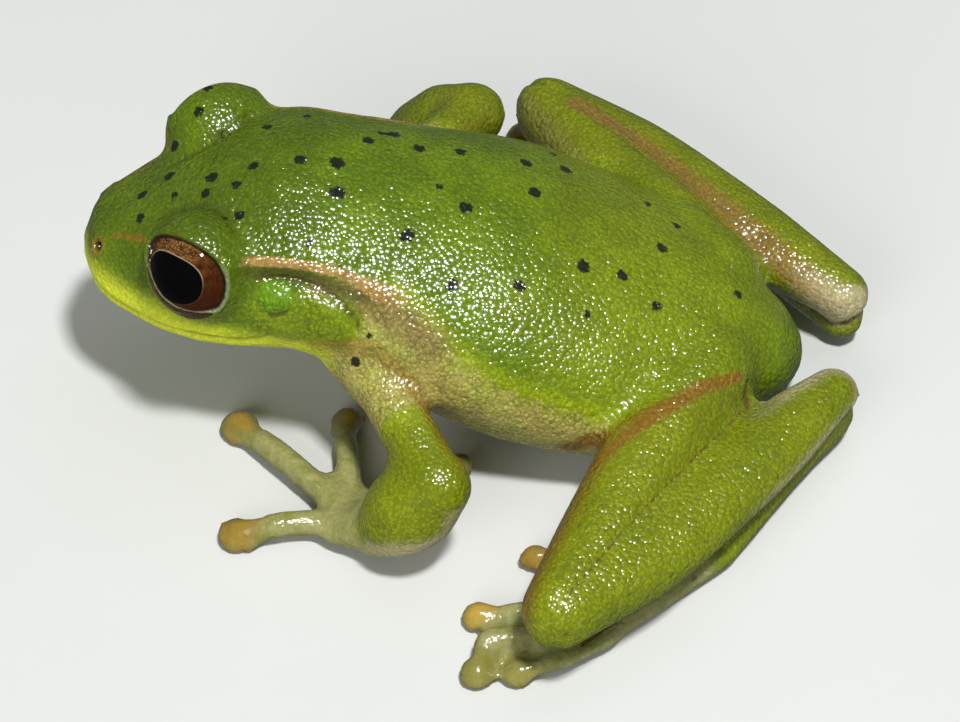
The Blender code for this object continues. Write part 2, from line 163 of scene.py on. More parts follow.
# Each side in its own pose: the way the front of the thigh looks, and the lines where the hidden
# orange skin comes to light, with the half widths at their two ends and their strength.
THIGH_FRONT = {"left": (-0.93, 0.36, -0.1), "right": (-0.80, -0.60, -0.1)}
WARM_LINES = {
    "left": (
        (((-7.8, -7.7, 9.9), (-5.0, -8.1, 10.2), (-4.1, -8.3, 9.6), (-3.5, -8.5, 9.1),
            (-2.7, -9.2, 8.3)), 0.6, 0.5, 0.55),
        (((6.6, -12.6, 6.6), (8.2, -10.9, 7.3), (10.2, -9.1, 7.8), (12.2, -7.2, 7.6),
            (14.3, -5.2, 6.5)), 0.6, 0.3, 1.0),
        (((5.4, -9.0, 4.4), (6.4, -9.3, 5.2), (7.6, -9.6, 6.0), (9.0, -9.4, 7.2),
            (10.4, -8.7, 7.7)), 0.5, 0.4, 1.0),
    ),
    "right": (
        (((4.6, 14.6, 7.1), (8.8, 11.7, 6.5), (11.7, 9.2, 6.1), (14.6, 6.7, 5.6),
            (17.4, 4.3, 4.7), (19.7, 2.8, 3.6)), 0.6, 0.8, 0.85),
    ),
}

# Where the sides turn from green above to tan below: X, and the height of the turn there.
FLANK_LINE = (
    (-9.6, 8.6), (-8.4, 9.6), (-6.6, 10.2), (-5.9, 11.0), (-5.5, 12.2), (-4.2, 12.8), (-2.3, 11.9),
    (-0.7, 10.5), (1.8, 9.0), (3.9, 8.0), (6.0, 7.2), (9.0, 6.0), (14.0, 4.4),
)

# The black spots, as places on the back seen from above: X, Y and the spot's radius.
SPOTS = (
    (-15.0, 5.5, 0.3), (-15.3, 3.9, 0.28), (-16.6, 3.1, 0.35), (-16.6, 0.8, 0.32),
    (-18.0, 0.1, 0.3), (-16.1, -0.9, 0.25), (-17.9, -1.6, 0.28), (-14.1, -0.6, 0.36),
    (-14.3, -1.6, 0.3), (-12.7, -1.5, 0.28), (-11.9, -0.3, 0.3), (-13.1, -3.6, 0.2),
    (-12.3, -3.4, 0.28), (-11.5, 3.0, 0.3), (-9.5, 4.3, 0.25), (-9.4, 0.0, 0.32),
    (-7.5, 0.2, 0.45), (-7.3, -1.8, 0.42), (-6.1, 2.7, 0.36), (-5.4, 3.8, 0.28),
    (-4.8, 3.9, 0.36), (-3.4, 2.9, 0.38), (-1.2, 3.4, 0.36), (-2.1, 0.0, 0.26),
    (-0.6, -1.1, 0.4), (-3.5, -3.5, 0.42), (-8.5, -4.8, 0.22), (-1.0, -5.6, 0.38),
    (2.5, -4.9, 0.36), (2.3, 3.8, 0.38), (2.9, 1.3, 0.4), (3.6, 6.3, 0.26), (4.4, 4.7, 0.36),
    (5.7, -2.5, 0.42), (7.8, -2.1, 0.36), (6.1, -5.1, 0.24), (8.9, 4.6, 0.26), (9.8, 1.0, 0.36),
    (10.5, 3.6, 0.3), (9.7, -3.1, 0.32), (14.0, -0.1, 0.3),
)
LOW_SPOTS = (((-5.9, 8.1, 9.2), 0.34), ((-5.2, 7.8, 10.9), 0.22))  # behind each cheek

# ---------------------------------------------------------------- the frog's own coordinates


def middle_of(node):
    low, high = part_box(node)
    return (np.array(low) + np.array(high)) / 2


ZERO = (middle_of("eye_left") + middle_of("eye_right")) / 2 - EYE * (1.0, 0.0, 1.0) * MM


def sided(point, side):
    """A landmark of the right side, or its mirror image on the left."""
    return np.asarray(point, float) * (1.0, SIDES[side], 1.0)


def bell(distance, width):
    return np.exp(-((distance / width) ** 2))


def ramp(value, low, high):
    """0 below low, 1 above high, and a smooth rise between them; low may be the greater one."""
    t = np.clip((value - low) / (high - low), 0, 1)
    return t * t * (3 - 2 * t)


# ---------------------------------------------------------------- meshes as arrays


class Surface:
    """A mesh's points, faces and edges as arrays, in the frog's own coordinates."""

    def __init__(self, mesh):
        self.points = np.empty(len(mesh.vertices) * 3)
        mesh.vertices.foreach_get("co", self.points)
        self.points = (self.points.reshape(-1, 3) - ZERO) / MM
        self.edges = np.empty(len(mesh.edges) * 2, int)
        mesh.edges.foreach_get("vertices", self.edges)
        self.edges = self.edges.reshape(-1, 2)
        mesh.calc_loop_triangles()
        self.triangles = np.empty(len(mesh.loop_triangles) * 3, int)
        mesh.loop_triangles.foreach_get("vertices", self.triangles)
        self.triangles = self.triangles.reshape(-1, 3)
        self.degree = np.bincount(self.edges.ravel(), minlength=len(self.points))

    def around(self, values):
        """The mean of the values at each point's neighbours."""
        values = np.asarray(values, float)
        columns = values.reshape(len(values), -1)
        total = np.empty_like(columns)
        first, second = self.edges.T
        for k in range(columns.shape[1]):
            total[:, k] = np.bincount(first, columns[second, k], len(columns))
            total[:, k] += np.bincount(second, columns[first, k], len(columns))
        return (total / np.maximum(self.degree, 1)[:, None]).reshape(values.shape)

    def spread(self, values, rounds):
        """Values blended over the surface, a little more with each round."""
        for _ in range(rounds):
            values = (values + self.around(values)) / 2
        return values

    def round_off(self, rounds, where):
        """Round the corners off where asked, then give back the thickness that this takes."""
        before = self.points
        for _ in range(rounds):
            self.points = (self.points + self.around(self.points)) / 2
        normal = self.normals()
        lost = self.spread(((before - self.points) * normal).sum(axis=1), rounds * 2)
        after = self.points + normal * lost[:, None]
        self.points = before + np.broadcast_to(where, len(before))[:, None] * (after - before)

    def blunt(self, low, high, rounds, pull_share=0.7):
        """Draw single sharp points in towards their neighbours."""
        for _ in range(rounds):
            pull = self.around(self.points) - self.points
            size = np.linalg.norm(pull, axis=1)
            self.points = self.points + (pull_share * ramp(size, low, high))[:, None] * pull

    def soften(self, rounds, where=1.0, shrink=0.5, grow=-0.53):
        """Smooth the points; the second step of each round gives back what the first takes."""
        where = np.broadcast_to(where, len(self.points))[:, None]
        for _ in range(rounds):
            for step in (shrink, grow):
                self.points = self.points + where * step * (self.around(self.points) - self.points)

    def normals(self):
        a, b, c = (self.points[self.triangles[:, k]] for k in range(3))
        face = np.cross(b - a, c - a)
        normal = np.zeros_like(self.points)
        for k in range(3):
            for corner in range(3):
                normal[:, k] += np.bincount(self.triangles[:, corner], face[:, k], len(normal))
        return normal / np.maximum(np.linalg.norm(normal, axis=1), 1e-12)[:, None]

    def distance(self, place):
        return np.linalg.norm(self.points - np.array(place), axis=1)

    def tree(self):
        return BVHTree.FromPolygons(self.points.tolist(), self.triangles.tolist())

    def write(self, mesh):
        mesh.vertices.foreach_set("co", (self.points * MM + ZERO).ravel())
        mesh.update()


def measured(line):
    """The lengths of a line's parts, and how far along the line each of its places lies."""
    lengths = np.linalg.norm(np.diff(line, axis=0), axis=1)
    return lengths, np.concatenate([[0.0], np.cumsum(lengths)])


def to_line(points, line):
    """How far each point is from a line through several places, and how far along it that is."""
    line = np.asarray(line, float)
    lengths, starts = measured(line)
    best = np.full(len(points), np.inf)
    share = np.zeros(len(points))
    for a, b, length, start in zip(line[:-1], line[1:], lengths, starts):
        along = np.clip((points - a) @ (b - a) / length**2, 0, 1)
        distance = np.linalg.norm(points - (a + along[:, None] * (b - a)), axis=1)
        nearer = distance < best
        best[nearer] = distance[nearer]
        share[nearer] = (start + along * length)[nearer] / starts[-1]
    return best, share


def disc_of(name):
    """The middle of a finger's or toe's disc, its radius, and the way from there to the palm.

    The disc is the end of the node that is furthest from the palm.
    """
    kind, _, side = name.split("_")
    palm = (middle_of(f"{'hand' if kind == 'finger' else 'foot'}_{side}") - ZERO) / MM
    points = Surface(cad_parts[name].data).points
    tip = points[np.argmax(np.linalg.norm(points - palm, axis=1))]
    radius = FINGER_DISC if kind == "finger" else TOE_DISC
    back = (palm - tip) / np.linalg.norm(palm - tip)
    return (tip + back * radius) * (1.0, 1.0, 0.0) + (0.0, 0.0, DISC_HEIGHT), radius, back


# ---------------------------------------------------------------- one skin from the flesh nodes

FLESH = [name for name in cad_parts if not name.startswith("eye")]
DISCS = [name for name in FLESH if name.startswith(("finger", "toe"))]


def new_mesh(form, name):
    mesh = bpy.data.meshes.new(name)
    form.to_mesh(mesh)
    form.free()
    return mesh


def new_item(name, mesh):
    item = bpy.data.objects.new(name, mesh)
    bpy.context.scene.collection.objects.link(item)
    return item


def flesh_shells():
    """All the flesh nodes as swelled closed shells, with a ball filling each eye socket."""
    whole = bmesh.new()
    for name in FLESH:
        shell = bmesh.new()
        shell.from_mesh(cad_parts[name].data)
        bmesh.ops.remove_doubles(shell, verts=shell.verts, dist=1e-6)
        shell.normal_update()
        moves = [
            vertex.normal * (SWELL * MM * min(vertex.calc_shell_factor(), SWELL_AT_EDGES))
            for vertex in shell.verts
        ]
        for vertex, move in zip(shell.verts, moves):
            vertex.co += move
        mesh = new_mesh(shell, "shell")
        whole.from_mesh(mesh)
        bpy.data.meshes.remove(mesh)
    for side in SIDES:
        made = bmesh.ops.create_icosphere(whole, subdivisions=4, radius=SOCKET_BALL * MM)
        bmesh.ops.translate(whole, verts=made["verts"], vec=middle_of(f"eye_{side}"))
    add_webs(whole)
    return new_mesh(whole, "skin")


def add_webs(whole):
    """Thin webs on the floor between neighbouring toes, as flat wedges."""
    low, high = -WEB_SUNK * MM, (WEB_THICKNESS - WEB_SUNK) * MM
    for side in SIDES:
        foot = middle_of(f"foot_{side}")
        tips = [disc_of(f"toe_{number}_{side}")[0] for number in range(1, 6)]
        for number, following, share_out, share_dip in WEBS:
            first, second = tips[number - 1], tips[following - 1]
            reach = [foot + (tip * MM + ZERO - foot) * share_out for tip in (first, second)]
            dip = foot + ((first + second) / 2 * MM + ZERO - foot) * share_dip
            corners = (foot, reach[0], dip, reach[1])
            rings = [
                [whole.verts.new((corner[0], corner[1], height)) for corner in corners]
                for height in (low, high)
            ]
            made = [whole.faces.new(ring) for ring in rings]
            for k in range(4):
                wall = (rings[0][k - 1], rings[0][k], rings[1][k], rings[1][k - 1])
                made.append(whole.faces.new(wall))
            bmesh.ops.recalc_face_normals(whole, faces=made)


def remeshed(mesh, voxel):
    """The mesh as a new object, its closed shells fused into one even skin."""
    item = new_item("skin", mesh)
    modifier = item.modifiers.new("fuse", "REMESH")
    modifier.mode = "VOXEL"
    modifier.voxel_size = voxel * MM
    bpy.context.view_layer.update()
    evaluated = item.evaluated_get(bpy.context.evaluated_depsgraph_get())
    fused = bpy.data.meshes.new_from_object(evaluated)
    item.modifiers.clear()
    item.data = fused
    return item


def refine(item, wanted):
    """Halve the faces whose corners are all wanted; wanted takes places, gives true or false."""
    form = bmesh.new()
    form.from_mesh(item.data)
    chosen = wanted(np.array([vertex.co for vertex in form.verts]) / MM - ZERO / MM)
    edges = [edge for edge in form.edges if all(chosen[vertex.index] for vertex in edge.verts)]
    bmesh.ops.subdivide_edges(form, edges=edges, cuts=1, use_grid_fill=True)
    odd = [face for face in form.faces if len(face.verts) > 4]
    bmesh.ops.triangulate(form, faces=odd)
    form.to_mesh(item.data)
    form.free()


def in_head(places):
    return (places[:, 0] < HEAD_BACK) & (places[:, 2] > HEAD_FLOOR)


def gaze_of(side):
    return sided(GAZE, side) / np.linalg.norm(GAZE)


def seen_from_eye(places, side):
    """Each place's distance from the eye's middle, its angle off the gaze, and its offset."""
    offset = places - sided(EYE, side)
    distance = np.linalg.norm(offset, axis=1)
    turn = np.degrees(np.arccos(np.clip(offset @ gaze_of(side) / distance, -1, 1)))
    return distance, turn, offset


def around_gaze(offset, side):
    """How far backward and upward an offset from the eye lies, as shares, seen along the gaze."""
    gaze = gaze_of(side)
    hind = np.cross((0.0, 0.0, 1.0), gaze)
    hind *= np.sign(hind[0]) / np.linalg.norm(hind)
    above = np.array((0.0, 0.0, 1.0)) - gaze * gaze[2]
    above /= np.linalg.norm(above)
    radius = np.hypot(offset @ hind, offset @ above)
    return offset @ hind / radius, offset @ above / radius


def past_line(line, turn, offset, side):
    """How many degrees outside a line round the eye each place lies."""
    backward, upward = around_gaze(offset, side)
    around = np.degrees(np.arctan2(upward, backward))
    return turn - np.interp(around, *np.transpose(line), period=360.0)


def lid_turn(turn, past):
    """The angle off the gaze; where the eye opens less wide, as if its lids' edge were wide."""
    return np.minimum(turn, past + WIDE_TURN)


def by_lids(places):
    """Whether each place is on the lids, a little inside their edge, or round a nostril."""
    chosen = np.zeros(len(places), bool)
    for side in SIDES:
        distance, turn, offset = seen_from_eye(places, side)
        past = past_line(LID_LINE, turn, offset, side)
        chosen |= (distance < LID_REACH) & (past > -7.0) & (lid_turn(turn, past) < 76.0)
        chosen |= np.linalg.norm(places - sided(NOSTRIL, side), axis=1) < 0.8
    return chosen


def form_lids():
    """Lay the skin on a ball a little greater than the eye, and let it sink inside the lids."""
    for side in SIDES:
        distance, turn, offset = seen_from_eye(surface.points, side)
        hood = ramp(around_gaze(offset, side)[1], -0.1, 0.5)
        past = past_line(LID_LINE, turn, offset, side)
        height = LID_RADIUS + HOOD_RISE * hood + LOWER_RISE * (1 - hood) * ramp(turn, 42.0, 64.0)
        height = SOCKET_BALL + (height - SOCKET_BALL) * ramp(past, -1.5, 2.6)
        hold = ramp(lid_turn(turn, past), 78.0, 66.0) * ramp(distance, 4.0, 3.6)
        surface.points += offset / distance[:, None] * (hold * (height - distance))[:, None]


def distance_to(tree, points, reach):
    """Distance from each point to a node's surface, or the reach where it is further off."""
    found = np.full(len(points), reach)
    for i, point in enumerate(points):
        hit = tree.find_nearest(point, reach)
        if hit[0] is not None:
            found[i] = hit[3]
    return found


print("frog: fusing the skin")
skin = remeshed(flesh_shells(), VOXEL)
surface = Surface(skin.data)
surface.soften(SOFTEN_ROUNDS)
surface.blunt(*SHARP_PULL, 12)
surface.round_off(6, ramp(surface.points[:, 0], HEAD_BACK, HEAD_BACK + 1.0))
surface.write(skin.data)
refine(skin, in_head)
surface = Surface(skin.data)
head = ramp(surface.points[:, 0], HEAD_BACK + 0.8, HEAD_BACK - 0.4)
head *= ramp(surface.points[:, 2], HEAD_FLOOR - 0.4, HEAD_FLOOR + 0.8)
surface.soften(6, head)
surface.points -= surface.normals() * SWELL
surface.write(skin.data)
refine(skin, by_lids)
surface = Surface(skin.data)
surface.soften(4, by_lids(surface.points).astype(float))
surface.soften(2, ramp(surface.points[:, 2], 2.6, 1.6))  # the hands and feet
form_lids()

ground = surface.tree()
near = {
    name: distance_to(Surface(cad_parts[name].data).tree(), surface.points, REACH)
    for name in FLESH
}
nearest = np.argmin([near[name] for name in FLESH], axis=0)
share = {name: (nearest == i).astype(float) for i, name in enumerate(FLESH)}


def on_skin(line, side):
    """A landmark line of one side, divided finely, smoothed and laid on the skin."""
    line = np.array([sided(place, side) for place in line])
    starts = measured(line)[1]
    stops = np.linspace(0.0, starts[-1], int(starts[-1] / 0.35) + 2)
    line = np.stack([np.interp(stops, starts, line[:, k]) for k in range(3)], axis=1)
    for _ in range(3):
        line[1:-1] = (line[:-2] + 2 * line[1:-1] + line[2:]) / 4
    return np.array([ground.find_nearest(place)[0] for place in line])


def by_line(line, side):
    """How far each point is from a landmark line on the skin, and how far along it that is."""
    return to_line(surface.points, on_skin(line, side))


def share_of(*starts, rounds=6):
    """1 on the nodes whose names begin so, 0 elsewhere, blended over the skin between them."""
    return surface.spread(sum(share[name] for name in FLESH if name.startswith(starts)), rounds)


def across_cut(first, second):
    """How far each point is from the cut between two nodes: below 0 on the first one's side."""
    apart = near[first] - near[second]
    close = np.maximum(near[first], near[second]) < 1.6
    return np.where(close, apart, np.where(apart < 0, -FAR_FROM_CUT, FAR_FROM_CUT))


def round_disc(name):
    """Give a disc a round outline about its own middle, but for where the shaft joins it."""
    middle, radius, back = disc_of(name)
    offset = surface.points[:, :2] - middle[:2]
    reach = np.maximum(np.linalg.norm(offset, axis=1), 1e-6)
    toward = offset @ back[:2] / reach / np.linalg.norm(back[:2])
    mine = (share[name] > 0.5) & (reach < radius * 1.6)
    angle = np.arctan2(offset[:, 1], offset[:, 0])
    sector = ((angle + math.pi) / (2 * math.pi) * DISC_SECTORS).astype(int) % DISC_SECTORS
    free = mine & (toward < 0.4)
    outline = np.zeros(DISC_SECTORS)
    for k in range(DISC_SECTORS):
        held = free & (sector == k)
        if held.any():
            outline[k] = np.percentile(reach[held], 90)
    wanted = outline[outline > 0.5].mean()
    outline[outline <= 0.5] = wanted
    middles = (np.arange(DISC_SECTORS) + 0.5) / DISC_SECTORS * 2 * math.pi - math.pi
    factor = np.interp(angle, middles, wanted / outline, period=2 * math.pi)
    factor = np.minimum(factor, wanted * 1.04 / reach)
    weight = mine * ramp(toward, 0.6, 0.2) * ramp(reach, radius * 0.3, radius * 0.8)
    surface.points[:, :2] += offset * ((factor - 1) * weight)[:, None]


for side in SIDES:
    elbow = ramp(near[f"upper_arm_{side}"], 2.2, 0.8) * ramp(near[f"forearm_{side}"], 2.2, 0.8)
    surface.round_off(10, surface.spread(elbow, 4) * share_of("upper_arm", "forearm"))
surface.soften(24, ramp(surface.distance(KNEE_POINT), *KNEE_RADIUS), grow=0.0)
for name in DISCS:
    round_disc(name)

# ---------------------------------------------------------------- relief and markings

print("frog: carving")
x, y, z = surface.points.T
normal = surface.normals()
relief = np.zeros(len(surface.points))  # outwards, to be added once all of it is known
marks = {  # shares from 0 to 1
    name: np.zeros(len(surface.points))
    for name in (
        "ear", "cheek", "stripe", "shade", "lip", "warm", "pale", "lid", "underlid", "hindlid",
        "flank", "pit", "below", "rump", "amber", "olive", "digits", "disc", "limb", "brow",
        "shoulder",
    )
}
lines = {  # distances from thin lines and from the lids' edge, the last one in degrees
    name: np.full(len(surface.points), far)
    for name, far in (
        ("spot", 9.0), ("seam", 9.0), ("crease", FAR_FROM_CUT), ("tuck", FAR_FROM_CUT),
        ("lid_edge", 30.0),
    )
}


def raise_skin(heights):
    """Raise the skin; heights below 0 sink it."""
    relief[:] = relief + heights


def ridge(distance, height, width, where=1.0):
    """Raise a rounded ridge along a line; a height below 0 makes a groove."""
    raise_skin(height * bell(distance, width) * where)


def add_mark(name, values):
    marks[name] = np.maximum(marks[name], values)


def add_line(name, distances):
    lines[name] = np.minimum(lines[name], distances)


def stretch(along, start, full, fading, end):
    """1 on a stretch of a line, from full to fading, and 0 before its start and past its end."""
    return ramp(along, start, full) * ramp(along, end, fading)


def shape_face(side, own):
    """The nostril, the mouth, the cheek, the ear under its fold, and the ridges and lines, painted
    shade among them.
    """
    nostril = surface.distance(sided(NOSTRIL, side))
    raise_skin(0.08 * bell(nostril - 0.42, 0.20) - 0.42 * bell(nostril, 0.24))
    # painted shade inside the nostril
    add_mark("pit", ramp(nostril, 0.34, 0.18))
    add_mark("warm", 0.7 * ramp(nostril, 0.80, 0.30))

    mouth, along = by_line(MOUTH, side)
    ridge(mouth, height=-0.24, width=0.16, where=ramp(along, 1.0, 0.93))
    ridge(mouth - 0.55, height=0.07, width=0.4, where=own)  # the lips
    # painted shade along the mouth's groove
    add_line("seam", mouth + 0.04 + 0.2 * ramp(along, 0.9, 1.0))

    cheek, along = by_line(CHEEK, side)
    raise_skin(0.22 * ramp(cheek, CHEEK_RADIUS * 1.25, CHEEK_RADIUS * 0.5))
    add_mark("cheek", ramp(cheek, CHEEK_RADIUS * 1.3, CHEEK_RADIUS * 0.7))

    ear = surface.distance(sided(EAR, side))
    ridge(ear - EAR_RADIUS, height=-0.10, width=0.14, where=own)
    raise_skin(0.06 * ramp(ear, EAR_RADIUS * 0.8, 0.0) * own)
    add_mark("ear", ramp(ear, EAR_RADIUS + 0.25, EAR_RADIUS - 0.25))
    lower = ramp(z, EAR[2] - 0.2, EAR[2] - 0.75) * ramp(x, EAR[0] - 0.7, EAR[0] - 0.2)
    # painted shade in the groove round the ear, strongest under it
    add_line("seam", np.abs(ear - EAR_RADIUS) + 0.3 - 0.28 * lower)

    fold, along = by_line(FOLD, side)
    ridge(fold, height=-0.34, width=0.24, where=stretch(along, 0.05, 0.3, 0.85, 1.03))
    # painted shade along the groove of the fold
    add_line("seam", fold + 0.02 + 0.2 * ramp(along, 0.15, 0.0) + 0.16 * ramp(along, 0.84, 0.97))

    stripe, along = by_line(STRIPE, side)
    width = 0.25 + 0.45 * ramp(along, 0.5, 1.0)
    ridge(stripe, height=0.16, width=0.40, where=ramp(along, 1.0, 0.6))
    clear = stretch(along, -0.02, 0.16, 0.72, 1.02)
    add_mark("stripe", ramp(stripe, width * 1.5, width * 0.6) * clear)

    shade, along = by_line(SHADE, side)
    add_mark("shade", bell(shade, 0.36) * ramp(along, -0.2, 0.2))

    canthus, along = by_line(CANTHUS, side)
    ridge(canthus, height=0.07, width=0.40)
    add_mark("warm", 0.9 * bell(canthus, 0.16) * ramp(along, 0.05, 0.3))

    crease, along = by_line(LID_CREASE, side)
    ridge(crease, height=-0.22, width=0.26, where=stretch(along, -0.05, 0.12, 0.85, 1.05))
    # painted shade in the lid's crease
    add_mark("shade", 0.6 * bell(crease, 0.22) * stretch(along, -0.05, 0.12, 0.8, 1.05))

    shoulder, along = by_line(SHOULDER, side)
    add_mark("shoulder", ramp(shoulder, 0.7 + 0.9 * ramp(along, 0.1, 0.6), 0.3))


def mark_lids(side):
    """A soft furrow under the eye, the dark lower lid, and a pale rim at the hind corner."""
    distance, turn, offset = seen_from_eye(surface.points, side)
    past = past_line(LID_LINE, turn, offset, side)
    backward, upward = around_gaze(offset, side)
    furrow = ramp(distance, 4.2, 3.2) * ramp(offset[:, 2], 0.6, -0.8)
    ridge(turn - 78.0, height=-0.10, width=4.0, where=furrow)
    lines["lid_edge"] = np.where(distance < 3.45, np.clip(past, -5.0, 30.0), lines["lid_edge"])

    near_eye = ramp(distance, 3.6, LID_REACH)
    below = ramp(0.35 * backward + 0.94 * upward, -0.10, -0.35)
    front = ramp(backward, -0.80, -0.95) * ramp(upward, 0.45, 0.2)
    dark = ramp(past_line(DARK_LID, turn, offset, side), 1.5, -1.5) * np.maximum(below, front)
    hind = ramp(past, 5.2, 3.2) * ramp(backward - 0.1 * upward, 0.60, 0.92)
    add_mark("below", below * near_eye)
    add_mark("underlid", dark * near_eye)
    add_mark("hindlid", hind * near_eye)
    add_mark("lid", ramp(turn, 76.0, 68.0) * ramp(upward, 0.5, -0.3) * near_eye)


def groove_cuts(side):
    """Grooves where the hind leg's folded parts, the toes and the thigh and trunk press, with
    painted shade along those of the leg and the toes.
    """
    for first, second, width, depth in (
        ("thigh", "shank", 0.24, 0.18),
        ("shank", "tarsus", 0.30, 0.30),
        ("shank", "foot", 0.30, 0.20),
        ("toe_4", "toe_5", 0.22, 0.12),
        ("toe_3", "toe_4", 0.22, 0.12),
    ):
        cut = across_cut(f"{first}_{side}", f"{second}_{side}")
        ridge(cut, -depth, width)
        # painted shade where the shank lies over the tarsus
        if second == "tarsus":
            add_line("tuck", np.abs(cut) + 0.4 * ramp(x, 15.5, 13.5))
        # painted shade along the crease between the thigh and the shank
        if first == "thigh":
            add_line("crease", np.abs(cut) + (0.4 * ramp(x, 5.8, 4.8) if side == "left" else 0.0))
        # painted shade along the cut between two toes
        if first.startswith("toe"):
            add_line("seam", np.abs(cut) + 0.1)
    ridge(across_cut("trunk", f"thigh_{side}"), height=-0.14, width=0.5)


def mark_hidden_skin(side):
    """The orange of the groin, the thigh's front and the fold of the leg, paler on the right."""
    for line, start_width, end_width, strength in WARM_LINES[side]:
        away, along = to_line(surface.points, line)
        width = start_width + (end_width - start_width) * along
        shown = ramp(away, width * 1.5, width * 0.6)
        add_mark("warm", strength * shown)
        if side == "right":
            add_mark("pale", 0.08 * shown)
    thigh = share[f"thigh_{side}"]
    front = ramp(normal @ np.array(THIGH_FRONT[side]), 0.20, 0.80) * thigh
    hidden = ramp(near["trunk"], 1.6, 0.5) * thigh * ramp(normal[:, 2], 0.5, 0.0)
    if side == "right":
        add_mark("pale", surface.spread(0.16 * ramp(front, 0.2, 0.9), 4))
        front = front * 0.25
    add_mark("warm", surface.spread(np.maximum(front * 0.85, hidden), 4))


def dome_disc(name):
    """A dome on top of a disc, a faint waist behind it, and the marks for its colour."""
    middle, radius, _ = disc_of(name)
    away = np.linalg.norm((surface.points - middle)[:, :2], axis=1)
    mine = surface.spread(share[name], 2)
    disc = ramp(away, radius * 1.6, radius * 0.6) * mine
    add_mark("disc", disc)
    if name.startswith("toe_3"):
        add_mark("amber", disc)
    elif name.startswith(("toe_4", "toe_5")):
        add_mark("olive", disc)
    upper = mine * ramp(normal[:, 2], -0.2, 0.5)
    dome = 0.24 * ramp(away, radius * 1.05, 0.0) - 0.05 * bell(away - radius * 1.25, 0.2)
    raise_skin(dome * upper)


for side, sign in SIDES.items():
    shape_face(side, own=y * sign > -0.3)
    mark_lids(side)
    groove_cuts(side)
    mark_hidden_skin(side)
for name in DISCS:
    dome_disc(name)
surface.points += normal * relief[:, None]
surface.soften(2, ramp(surface.points[:, 0], HEAD_BACK - 1.0, HEAD_BACK))

x, y, z = surface.points.T
normal = surface.normals()
tree = surface.tree()


def mark_spots():
    """The distance from the edge of the nearest black spot, below 0 inside it."""
    for spot_x, spot_y, radius in SPOTS:
        top = tree.ray_cast((spot_x, spot_y, 40.0), (0.0, 0.0, -1.0))[0]
        add_line("spot", surface.distance(top) - radius)
    for side in SIDES:
        for place, radius in LOW_SPOTS:
            middle = tree.find_nearest(sided(place, side))[0]
            add_line("spot", surface.distance(middle) - radius)


def mark_body():
    """The flank, rump, lips and brow, each between its own bounds along X and in height."""
    body = share_of("head", "trunk", rounds=10)
    level = z - np.interp(x, *np.transpose(FLANK_LINE))
    low_side = ramp(level, 1.3, -1.3) * ramp(x, -10.4, -8.6) * ramp(x, 15.5, 12.0)
    by_body = ramp(np.minimum(near["head"], near["trunk"]), 2.3, 0.3)
    add_mark("flank", surface.spread(low_side * by_body, 6))
    add_mark("rump", stretch(x, -1.0, 9.0, 13.0, 18.0) * body)
    add_mark("lip", stretch(z, 5.8, 7.4, 9.2, 10.8) * ramp(x, -6.6, -8.0) * body)
    add_mark("brow", share_of("head", rounds=20) * ramp(z, 9.5, 11.5))


def mark_limbs():
    """The digits, the orange edges of the upper arm, the cream under the forearm and heel."""
    add_mark("digits", share_of("hand", "finger", "foot", "toe", rounds=8))
    limb = share_of("upper_arm", "forearm", "thigh", "shank", "tarsus", rounds=12)
    add_mark("limb", limb)
    fore = np.minimum(near["forearm_left"], near["forearm_right"])
    arm = share_of("upper_arm", rounds=4) * np.where(y < 0, 1.0, 0.3) * ramp(fore, 0.6, 2.2)
    hind_edge = 0.8 * ramp(normal[:, 0], 0.35, 0.80)
    front_edge = 0.5 * ramp(normal[:, 0], -0.70, -0.95)
    add_mark("warm", arm * np.maximum(hind_edge, front_edge))
    cream = share_of("forearm", rounds=6) * ramp(normal[:, 2], 0.0, -0.25)
    left, right = (normal @ sided(SHANK_UPPER, side) for side in SIDES)
    upper = np.where(y < 0, left, right) - 0.12 * (y < 0)
    heel = ramp(x - 1.8 * (y > 0), 14.0, 18.0) * ramp(upper, 0.50, 0.25)
    heel *= share_of("shank", rounds=2)
    add_mark("pale", surface.spread(np.maximum(cream, heel), 2))


mark_spots()
mark_body()
mark_limbs()
marks.update(lines)
for name, values in marks.items():
    attribute = skin.data.attributes.new(name, "FLOAT", "POINT")
    attribute.data.foreach_set("value", values.astype(np.float32))

low, high = ((np.array(corner) - ZERO) / MM for corner in CAD_BOX)
surface.points = np.clip(surface.points, low, high)
surface.write(skin.data)
skin.data.polygons.foreach_set("use_smooth", [True] * len(skin.data.polygons))
print("frog: skin triangles", len(surface.triangles))

# ---------------------------------------------------------------- node trees written as sums


class Value:
    """A node's output that Python's own operators work on; each adds its node to the tree."""

    def __init__(self, board, socket):
        self.board = board
        self.socket = socket

    def __add__(self, other):
        return self.board.maths("ADD", self, other)

    def __sub__(self, other):
        return self.board.maths("SUBTRACT", self, other)

    def __rsub__(self, other):
        return self.board.maths("SUBTRACT", other, self)

    def __mul__(self, other):
        return self.board.maths("MULTIPLY", self, other)

    def __truediv__(self, other):
        return self.board.maths("DIVIDE", self, other)

    def __rtruediv__(self, other):
        return self.board.maths("DIVIDE", other, self)

    def __pow__(self, other):
        return self.board.maths("POWER", self, other)

    def __rpow__(self, other):
        return self.board.maths("POWER", other, self)

    __radd__ = __add__
    __rmul__ = __mul__

    def ramp(self, low, high):
        """0 at low and 1 at high, with a smooth rise between; low may be the greater one."""
        return self.board.add("ShaderNodeMapRange", {"interpolation_type": "SMOOTHSTEP"},
            {"Value": self, "From Min": low, "From Max": high})


